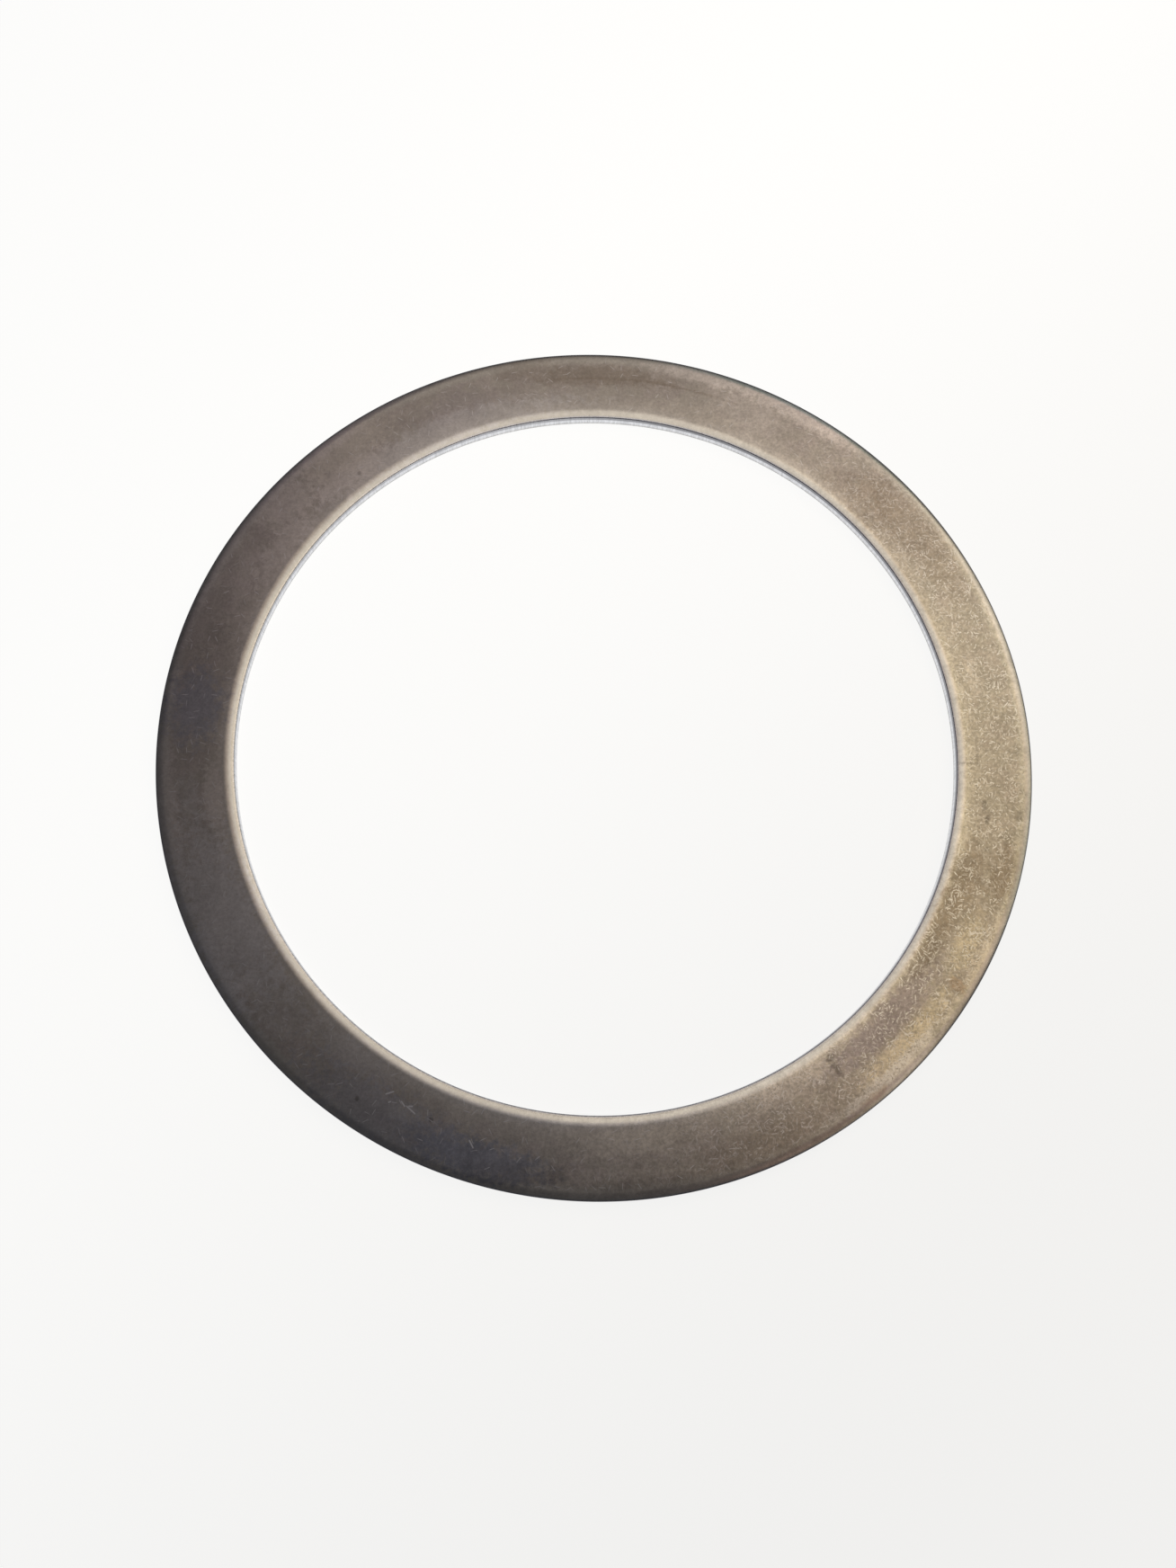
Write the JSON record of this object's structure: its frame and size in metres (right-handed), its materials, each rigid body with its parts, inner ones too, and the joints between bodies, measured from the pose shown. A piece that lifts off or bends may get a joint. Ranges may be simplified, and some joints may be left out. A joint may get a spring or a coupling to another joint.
{
  "type": "thrust washer",
  "caption": "Flat, narrow steel ring with rolled-over upper edges; it takes axial load between a shoulder and a rotating part.",
  "frame": {"origin": "on the bore axis, in the plane of the lower face, which the washer lies on", "axes": "+Z along the bore axis, from the lower face with its sharp edges to the upper face with its rolled edges"},
  "size_m": [0.115, 0.115, 0.002],
  "materials": {
    "steel": "satin, tumbled and scuffed"
  },
  "bodies": {
    "root": {"thrust_washer": "steel"}
  },
  "joints": []
}
